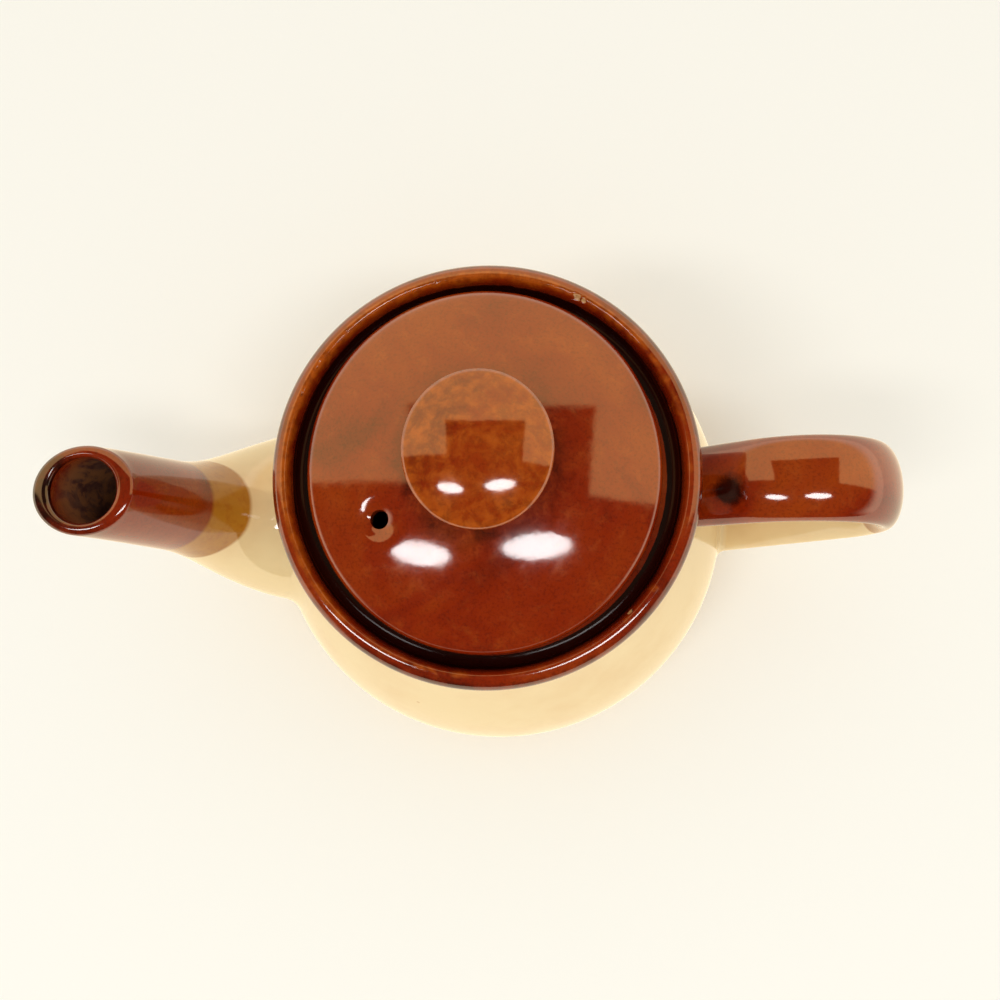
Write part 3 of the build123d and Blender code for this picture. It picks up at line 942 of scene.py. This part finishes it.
class TEAPOT_OT_pot_body(bpy.types.Operator):
    """Turn the pot body, pierce its strainer and knock the chips out of its lip"""

    bl_idname = "teapot.pot_body"
    bl_label = "Pot Body"

    STRAINER_RADIUS = 3 * MM
    STRAINER_RING = 11 * MM
    STRAINER_HOLES = 6
    STRAINER_SIDES = 24
    # Glaze is thin over the lip's crest, most of all on one side, and pools on the slope inside it, where the
    # groove under the lid is also painted near black as shade; the shoulder outside the crest is somewhat
    # darker
    CREST_RUN = 0.85
    CREST_REACH = 1.5 * MM
    CREST_SIDE = math.radians(128)
    SLOPE_POOL_AND_SHADE = 2.0
    SLOPE_DROP = 2.7 * MM
    SLOPE_REACH = 2.0 * MM
    SHOULDER_RUN = 0.52
    SHOULDER_PLACE = 0.8 * MM
    SHOULDER_REACH = 0.8 * MM
    SHOULDER_FADE = 4 * MM

    def execute(self, context):
        scene = context.scene
        sizes = scene.teapot_body
        outline = body_outline(sizes)
        piece = turned("body_skin", outline, self.runs(outline, sizes), thin_side=self.CREST_SIDE)
        self.pierce(piece, sizes, scene.teapot_spout)
        knock_chips(piece, sizes.lip_top)
        finish_piece(piece, dipped_material(scene.teapot_glaze), "pot", "cream_glaze", "pot_body")
        return {"FINISHED"}

    def runs(self, outline, sizes):
        """How the glaze runs: thin over the crest of the lip, and near black in the gallery below it, from
        pooling glaze and painted shade in the groove under the lid.
        """
        crest = sizes.lip_radius - sizes.lip_shoulder
        seat = sizes.lip_top - sizes.gallery_depth
        runs = []
        for point, run in zip(outline, glaze_run(outline)):
            drop = sizes.lip_top - point.y
            if point.y > seat - sizes.seat_round and point.x > crest - 2 * sizes.gallery_round:
                run = self.CREST_RUN * math.exp(-(((point.x - crest) / self.CREST_REACH) ** 2))
                if point.x < crest:
                    # pooling glaze and painted shade: the gallery slope in the groove under the lid goes near
                    # black
                    run -= self.SLOPE_POOL_AND_SHADE * clamp((drop - self.SLOPE_DROP) / self.SLOPE_REACH)
                else:
                    shoulder = clamp((point.x - crest - self.SHOULDER_PLACE) / self.SHOULDER_REACH)
                    fade = clamp(1 - (drop - sizes.lip_roll) / self.SHOULDER_FADE)
                    run -= self.SHOULDER_RUN * shoulder * fade
            runs.append(run)
        return runs

    def pierce(self, piece, sizes, spout):
        """Pierce the strainer holes through the wall behind the spout."""
        reach = skin_radius(sizes, spout.root_height)
        facing = Matrix.Rotation(spout.turn, 4, "Z") @ Matrix.Translation((-reach, 0, spout.root_height))
        facing = facing @ Matrix.Rotation(spout.root_pitch - math.pi / 2, 4, "Y")
        holes = [Vector((0, 0, 0))]
        for hole in range(self.STRAINER_HOLES):
            turn = 2 * math.pi * hole / self.STRAINER_HOLES
            holes.append(Vector((math.sin(turn), math.cos(turn), 0)) * self.STRAINER_RING)
        ends = (-2 * sizes.wall, 2 * sizes.wall)
        for hole in holes:
            drill(piece, "strainer_pin", facing, hole, ends, self.STRAINER_RADIUS, self.STRAINER_SIDES)


class TEAPOT_OT_spout(bpy.types.Operator):
    """Draw the spout from its swelling root to its rolled mouth, and wipe the clay round its root"""

    bl_idname = "teapot.spout"
    bl_label = "Spout"

    STEPS = 44
    # Glaze lies thick and dark on the lip's tip, and thinner towards the pot
    LIP_RUN = -0.3
    LIP_TURN = 0.5
    # The stain in the bore fades over this share of the spout below the mouth, down to so much at the mouth
    CLEAN_SHARE = 0.07
    MOUTH_STAIN = 0.25
    # The spout leaves the body between these shares of its line
    ROOT_SHARES = (0.0, 0.5)

    def execute(self, context):
        scene = context.scene
        sizes, joints = scene.teapot_spout, scene.teapot_joints
        shape = SpoutShape(sizes)
        shares = [step / self.STEPS for step in range(self.STEPS + 1)]
        stations = [(share, -sizes.wall + (sizes.wall - sizes.mouth_wall) * share, 0.0) for share in shares]
        outer = sizes.lip_shoulder
        roll = rolled(-outer, sizes.mouth_wall - outer, outer, sizes.lip_roll)
        stations += [(1.0, grow, lift) for grow, lift in roll]
        stations += [(share, 0.0, 0.0) for share in reversed(shares)]
        piece = lofted("spout_skin", [shape.place(*station) for station in stations], TUBE_SIDES)
        lip = [self.LIP_RUN - self.LIP_TURN * math.sin(turn) for turn in TUBE_TURNS]
        runs = [run if station[2] else 0.0 for station in stations for run in lip]
        mark_points(piece, "glaze_run", runs)
        stain = [0.0] * len(stations)
        for ring, share in enumerate(shares):
            stain[ring] = min(1.0, self.MOUTH_STAIN + (1.0 - share) / self.CLEAN_SHARE)
        mark_points(piece, "stain", [value for value in stain for side in range(TUBE_SIDES)])
        close_skin(piece, joined=True)
        cut_with(piece, wall_core(scene.teapot_body, joints.root_depth))
        glaze = dipped_material(scene.teapot_glaze)
        finish_piece(piece, glaze, "pot", "cream_glaze", "spout")
        reach, sink = joints.spout_fillet, joints.sink
        fillet = fillet_piece("spout_fillet", shape.skin, *self.ROOT_SHARES, scene.teapot_body, reach, sink)
        finish_piece(fillet, glaze, "pot", "cream_glaze", "spout_luting")
        return {"FINISHED"}


class TEAPOT_OT_handle(bpy.types.Operator):
    """Draw the handle strap and wipe the clay round its two ends"""

    bl_idname = "teapot.handle"
    bl_label = "Handle"

    STEPS = 90
    # Glaze thins on the strap's edges; the dark spot in the dip where the strap rises from the neck is a
    # painted dark reflection
    EDGE_RUN = 0.3
    EDGE_SHARPNESS = 6
    PAINTED_DARK_RUN = 1.3
    PAINTED_DARK_TRAVEL = 24.5 * MM
    PAINTED_DARK_FRONT = 2.5 * MM
    PAINTED_DARK_REACH = 4.6 * MM

    def execute(self, context):
        scene = context.scene
        body, joints = scene.teapot_body, scene.teapot_joints
        shape = HandleShape(scene.teapot_handle, body)
        travels = [shape.total * step / self.STEPS for step in range(self.STEPS + 1)]
        piece = lofted("handle_skin", [shape.place(travel) for travel in travels], TUBE_SIDES)
        runs = []
        for travel in travels:
            for turn in TUBE_TURNS:
                # painted dark reflection near the neck, laid on as a negative glaze run
                front = math.sin(turn) * scene.teapot_handle.root_width / 2 - self.PAINTED_DARK_FRONT
                away = math.hypot(travel - self.PAINTED_DARK_TRAVEL, front) / self.PAINTED_DARK_REACH
                painted_dark = self.PAINTED_DARK_RUN * math.exp(-(away**2)) if math.cos(turn) > 0 else 0.0
                runs.append(self.EDGE_RUN * math.sin(turn) ** self.EDGE_SHARPNESS - painted_dark)
        mark_points(piece, "glaze_run", runs)
        close_skin(piece)
        cut_with(piece, wall_core(body, joints.root_depth))
        glaze = dipped_material(scene.teapot_glaze)
        finish_piece(piece, glaze, "pot", "cream_glaze", "handle")
        for name, inside, node, slot in (
            ("handle_neck_fillet", 0.0, "handle_neck_luting", "brown_glaze"),
            ("handle_belly_fillet", shape.total, "handle_belly_luting", "cream_glaze"),
        ):
            outside = shape.upper if inside == 0.0 else shape.upper + shape.arc
            fillet = fillet_piece(name, shape.skin, inside, outside, body, joints.handle_fillet, joints.sink)
            finish_piece(fillet, glaze, "pot", slot, node)
        return {"FINISHED"}


class LidShape:
    """Heights and radii of the lid, worked out from its sizes and its seat."""

    # How far lid and knob are out of round, across and front to back
    LID_ROUND = (0.995, 1.031)
    KNOB_ROUND = (0.99, 1.054)

    def __init__(self, sizes, body):
        self.seat = body.lip_top - body.gallery_depth
        self.edge_top = self.seat + sizes.edge_height
        self.crown = self.edge_top + sizes.dome_rise
        self.dome = (sizes.radius**2 + sizes.dome_rise**2) / (2 * sizes.dome_rise)
        self.hub = self.crown - self.dome
        self.rest = (-sizes.rest_left, sizes.rest_back)

    def fired(self, point):
        """How much the kiln has left a ring of the lid out of round, across and front to back."""
        return self.LID_ROUND if point.y > self.seat else (1.0, 1.0)

    def stuck(self, point):
        """How much a ring of the hand-made knob is out of round."""
        return self.KNOB_ROUND

    def height(self, reach, depth=0.0):
        """Height of the dome, depth below its skin, at a distance from the axis."""
        return self.hub + math.sqrt((self.dome - depth) ** 2 - reach**2)


class TEAPOT_OT_lid(bpy.types.Operator):
    """Turn the lid with its flange, and pierce its steam vent"""

    bl_idname = "teapot.lid"
    bl_label = "Lid"

    DOME_STEPS = 36
    EDGE_STEPS = 10
    EDGE_RUN = 0.4
    # A darker ring round the knob: painted dark reflection of the knob in the dome
    PAINTED_DARK_RUN = 0.48
    PAINTED_DARK_REACH = 6 * MM
    # The hollow round the vent: cuts that divide the skin, steepness, and how far up a face looks
    DISH_CUTS = 3
    DISH_STEEPNESS = 2.1
    UPWARD = 0.5
    VENT_SIDES = 48
    VENT_RUN = -0.6

    def execute(self, context):
        scene = context.scene
        sizes = scene.teapot_lid
        shape = LidShape(sizes, scene.teapot_body)
        outline = self.outline(sizes, shape)
        piece = turned("lid_skin", outline, self.runs(outline, sizes), True, shape.fired, shape.rest)
        self.pierce(piece, sizes, shape)
        finish_piece(piece, treacle_material(scene.teapot_glaze), "lid", "brown_glaze", "lid")
        return {"FINISHED"}

    def runs(self, outline, sizes):
        """How the glaze runs: a little thin over the edge, with a darker ring round the knob that is a
        painted dark reflection of the knob.
        """
        runs = []
        for point, run in zip(outline, glaze_run(outline)):
            ring = (point.x - sizes.knob_radius) / self.PAINTED_DARK_REACH
            runs.append(self.EDGE_RUN * run - self.PAINTED_DARK_RUN * math.exp(-(ring**2)))
        return runs

    def outline(self, sizes, shape):
        """The lid's outline, from the hole under the knob out over the dome and back underneath."""
        inner = sizes.flange_radius - sizes.flange_thickness
        shoulder = sizes.radius - 1.2 * sizes.edge_round
        line = []
        for step in range(self.DOME_STEPS + 1):
            reach = sizes.knob_hollow + (shoulder - sizes.knob_hollow) * step / self.DOME_STEPS
            line.append(Vector((reach, shape.height(reach))))
        slope = Vector((shape.height(shoulder) - shape.hub, -shoulder))
        edge = (sizes.radius, shape.edge_top - sizes.edge_round)
        line += bend(line[-1], slope, edge, DOWN, self.EDGE_STEPS)
        line += softened(
            (
                line.pop(),
                (sizes.radius, shape.seat),
                (sizes.flange_radius, shape.seat),
                (sizes.flange_radius, sizes.flange_bottom),
                (inner, sizes.flange_bottom),
                (inner, shape.height(inner, sizes.thickness)),
            ),
            sizes.edge_round / 3,
        )
        for step in range(1, self.DOME_STEPS + 1):
            reach = inner + (sizes.knob_hollow - inner) * step / self.DOME_STEPS
            line.append(Vector((reach, shape.height(reach, sizes.thickness))))
        return line

    def pierce(self, piece, sizes, shape):
        """Press a soft hollow into the dome and pierce the steam vent straight down through it."""
        across = Matrix.Rotation(sizes.vent_turn, 4, "Z") @ Vector((sizes.vent_reach, 0, 0))
        spot = Vector((*shape.rest, shape.height(sizes.vent_reach))) + across
        bpy.ops.object.mode_set(mode="EDIT")
        bpy.ops.mesh.select_all(action="DESELECT")
        for face in bmesh.from_edit_mesh(piece.data).faces:
            near = (face.calc_center_median() - spot).length < sizes.vent_dish
            face.select_set(near and face.normal.z > self.UPWARD)
        bpy.ops.mesh.subdivide(number_cuts=self.DISH_CUTS)
        for vertex in bmesh.from_edit_mesh(piece.data).verts:
            away = max(0.0, (vertex.co - spot).length - sizes.vent_radius)
            near = 1 - away / (sizes.vent_dish - sizes.vent_radius)
            if near > 0 and vertex.normal.z > self.UPWARD:
                vertex.co.z -= sizes.vent_sink * near**self.DISH_STEEPNESS
        put_in_order(piece)
        bpy.ops.object.mode_set(mode="OBJECT")
        ends = (spot.z - 3 * sizes.thickness, spot.z + sizes.thickness)
        facing, middle = Matrix.Identity(4), Vector((spot.x, spot.y, 0))
        drill(piece, "vent_pin", facing, middle, ends, sizes.vent_radius, self.VENT_SIDES, self.VENT_RUN)


class TEAPOT_OT_knob(bpy.types.Operator):
    """Turn the hollow knob and wipe the clay round its foot"""

    bl_idname = "teapot.knob"
    bl_label = "Knob"

    EDGE_STEPS, NECK_STEPS, FOOT_STEPS = 10, 18, 8
    # The knob's foot dips this far into the dome
    FOOT_SINK = 0.02 * MM
    # Glaze is thin all over the knob, and thinner over its edges
    THIN_RUN = 0.52
    EDGE_RUN = 0.4

    def execute(self, context):
        scene = context.scene
        sizes, joints = scene.teapot_lid, scene.teapot_joints
        shape = LidShape(sizes, scene.teapot_body)
        glaze = treacle_material(scene.teapot_glaze)
        base = sizes.knob_top - sizes.knob_height
        edge = (sizes.knob_radius, sizes.knob_top - sizes.knob_crown)
        neck = (sizes.knob_neck, base + sizes.knob_neck_height)
        foot = (sizes.knob_foot, base)
        cap_radius, brink = sizes.knob_cap_radius, sizes.knob_radius - sizes.knob_edge
        line = []
        for step in range(CURVE_STEPS + 1):
            reach = POLE + (brink - POLE) * step / CURVE_STEPS
            line.append(Vector((reach, sizes.knob_top - cap_radius + math.sqrt(cap_radius**2 - reach**2))))
        fall = Vector((math.sqrt(cap_radius**2 - brink**2), -brink))
        line += bend(line[-1], fall, edge, DOWN, self.EDGE_STEPS)
        line += bend(edge, DOWN, neck, DOWN, self.NECK_STEPS)
        line += bend(neck, DOWN, foot, Vector((1, -2)), self.FOOT_STEPS)
        cap = sizes.knob_top - sizes.knob_cap
        line += softened(
            (
                line.pop(),
                (sizes.knob_foot, shape.height(sizes.knob_foot) - self.FOOT_SINK),
                (sizes.knob_hollow, shape.height(sizes.knob_hollow)),
                (sizes.knob_hollow, cap),
                (POLE, cap),
            ),
            sizes.knob_hollow / 4,
        )
        runs = [self.EDGE_RUN * run + self.THIN_RUN for run in glaze_run(line)]
        piece = turned("knob_skin", line, runs, False, shape.stuck, shape.rest)
        finish_piece(piece, glaze, "lid", "brown_glaze", "knob")
        line = self.fillet_line(sizes, shape, joints, base)
        fillet = turned("knob_fillet", line, glaze_run(line), True, shape.stuck, shape.rest)
        finish_piece(fillet, glaze, "lid", "brown_glaze", "knob_luting")
        return {"FINISHED"}

    def fillet_line(self, sizes, shape, joints, base):
        """Outline of the wiped clay between the knob and the dome."""
        reach = joints.knob_fillet
        top = Vector((sizes.knob_neck - joints.sink, base + sizes.knob_neck_height))
        toe = sizes.knob_foot + reach
        foot = Vector((toe, shape.height(toe) - joints.sink))
        corner = Vector((sizes.knob_neck + 0.4 * reach, shape.height(sizes.knob_foot)))
        line = rounded(top, corner, foot, FILLET_STEPS)
        under = sizes.knob_neck - 3 * joints.sink
        line.append(Vector((under, shape.height(under) - 3 * joints.sink)))
        return line


class TEAPOT_OT_stage(bpy.types.Operator):
    """Set the pale floor, the lamps and the camera"""

    bl_idname = "teapot.stage"
    bl_label = "Stage"

    CAMERA_PLACE = (12.7 * MM, -39.3 * MM, 339.9 * MM)
    STRIPS = (((-1.0, -0.80, 2.0), "strip_left"), ((0.64, -0.68, 2.0), "strip_right"))
    STRIP_SIZE = (0.98, 0.32)
    SENSOR = 36.0
    NEAREST = 10 * MM
    # Colours of the room: what the glaze mirrors, the even light, and what the camera sees behind the floor
    DARK = (0.03, 0.022, 0.012)
    WALL = (1.0, 0.60, 0.25)
    SKIRTING = (1.1, 0.84, 0.58)
    SOFT = (1.0, 0.98, 0.94, 1.0)
    BACKDROP = (1.0, 0.995, 0.96, 1.0)

    def execute(self, context):
        scene = context.scene
        stage = scene.teapot_stage
        self.floor(stage)
        for place, name in self.STRIPS:
            bpy.ops.object.light_add(type="AREA", location=place)
            lamp = context.object
            lamp.name = name
            lamp.data.shape = "ELLIPSE"
            lamp.data.size, lamp.data.size_y = self.STRIP_SIZE
            lamp.data.energy = stage.strip_strength
        self.room(scene, stage)
        bpy.ops.object.camera_add(
            location=self.CAMERA_PLACE, rotation=(stage.camera_pitch, stage.camera_roll, stage.camera_turn)
        )
        camera = context.object
        camera.data.lens = stage.camera_lens
        camera.data.sensor_width = self.SENSOR
        camera.data.clip_start = self.NEAREST
        scene.camera = camera
        scene.view_settings.view_transform = "Standard"
        return {"FINISHED"}

    def floor(self, stage):
        """A plain pale table."""
        bpy.ops.object.select_all(action="DESELECT")
        bpy.ops.mesh.primitive_plane_add(size=stage.floor_size)
        floor = bpy.context.object
        floor.name = "floor"
        material = bpy.data.materials.new("pale_table")
        material.use_nodes = True
        tree = material.node_tree
        shader = tree.nodes["Principled BSDF"]
        shader.inputs["Roughness"].default_value = 0.6
        shader.inputs["Specular IOR Level"].default_value = 0.2
        rays = add_node(tree, "ShaderNodeLightPath").outputs
        paint = blend_colours(tree, rays["Is Camera Ray"], stage.floor_warmth, stage.floor_colour)
        tree.links.new(paint, shader.inputs["Base Color"])
        glow = {"Color": (*stage.floor_warmth, 1.0), "Strength": stage.floor_mirrored}
        glow = add_node(tree, "ShaderNodeEmission", glow).outputs["Emission"]
        seen = {0: rays["Is Glossy Ray"], 1: shader.outputs["BSDF"], 2: glow}
        seen = add_node(tree, "ShaderNodeMixShader", seen).outputs["Shader"]
        tree.links.new(seen, tree.nodes["Material Output"].inputs["Surface"])
        floor.data.materials.append(material)

    def room(self, scene, stage):
        """Even soft light. The glaze mirrors a pale wall, a dark flag overhead and a pale skirting."""
        world = bpy.data.worlds.new("room")
        scene.world = world
        world.use_nodes = True
        tree = world.node_tree
        facing = add_node(tree, "ShaderNodeTexCoord").outputs["Generated"]
        axes = add_node(tree, "ShaderNodeSeparateXYZ", {"Vector": facing}).outputs
        slant = arith(tree, "MULTIPLY_ADD", axes["X"], 0.065, axes["Y"])
        wall = ramp(tree, slant, 0.01, 0.05)
        sides = arith(tree, "MULTIPLY", ramp(tree, axes["X"], -0.5, -0.46), ramp(tree, axes["X"], 0.60, 0.56))
        flag = arith(tree, "MULTIPLY", sides, ramp(tree, axes["Y"], 0.50, 0.47))
        lit = arith(tree, "MULTIPLY", wall, ramp(tree, flag, 0.0, 1.0, 1.0, 0.0))
        mirrored = blend_colours(tree, lit, self.DARK, self.WALL)
        low = ramp(tree, axes["Z"], 0.32, 0.08)
        skirting = arith(tree, "MULTIPLY", low, ramp(tree, axes["Y"], -0.75, -0.4))
        mirrored = blend_colours(tree, skirting, mirrored, self.SKIRTING)
        shaders = []
        for light, strength in (
            (mirrored, stage.mirrored_room),
            (self.SOFT, stage.soft_light),
            (self.BACKDROP, 1.0),
        ):
            shader = add_node(tree, "ShaderNodeBackground", {"Color": light, "Strength": strength})
            shaders.append(shader.outputs["Background"])
        rays = add_node(tree, "ShaderNodeLightPath").outputs
        seen = shaders[1]
        for ray, shader in ((rays["Is Glossy Ray"], shaders[0]), (rays["Is Camera Ray"], shaders[2])):
            seen = add_node(tree, "ShaderNodeMixShader", {0: ray, 1: seen, 2: shader}).outputs["Shader"]
        tree.links.new(seen, tree.nodes["World Output"].inputs["Surface"])


class TEAPOT_PT_panel(bpy.types.Panel):
    """Lists the steps that make the teapot"""

    bl_idname = "TEAPOT_PT_panel"
    bl_label = "Teapot"
    bl_space_type = "VIEW_3D"
    bl_region_type = "UI"
    bl_category = "Teapot"

    def draw(self, context):
        for operator in PIECES:
            self.layout.operator(operator.bl_idname)


PIECES = (
    TEAPOT_OT_pot_body,
    TEAPOT_OT_spout,
    TEAPOT_OT_handle,
    TEAPOT_OT_lid,
    TEAPOT_OT_knob,
    TEAPOT_OT_stage,
)

SETTINGS = {
    "teapot_body": TeapotBodySizes,
    "teapot_spout": TeapotSpoutSizes,
    "teapot_handle": TeapotHandleSizes,
    "teapot_lid": TeapotLidSizes,
    "teapot_joints": TeapotJointSizes,
    "teapot_glaze": TeapotGlazeColours,
    "teapot_stage": TeapotStage,
}


def register():
    """Add the settings, operators and panel."""
    for name, group in SETTINGS.items():
        bpy.utils.register_class(group)
        setattr(bpy.types.Scene, name, PointerProperty(type=group))
    for operator in PIECES:
        bpy.utils.register_class(operator)
    bpy.utils.register_class(TEAPOT_PT_panel)


def unregister():
    """Take the settings, operators and panel away again."""
    bpy.utils.unregister_class(TEAPOT_PT_panel)
    for operator in reversed(PIECES):
        bpy.utils.unregister_class(operator)
    for name, group in SETTINGS.items():
        delattr(bpy.types.Scene, name)
        bpy.utils.unregister_class(group)


def main():
    """Make the teapot."""
    register()
    bpy.ops.teapot.pot_body()
    bpy.ops.teapot.spout()
    bpy.ops.teapot.handle()
    bpy.ops.teapot.lid()
    bpy.ops.teapot.knob()
    bpy.ops.teapot.stage()


if __name__ == "__main__":
    main()
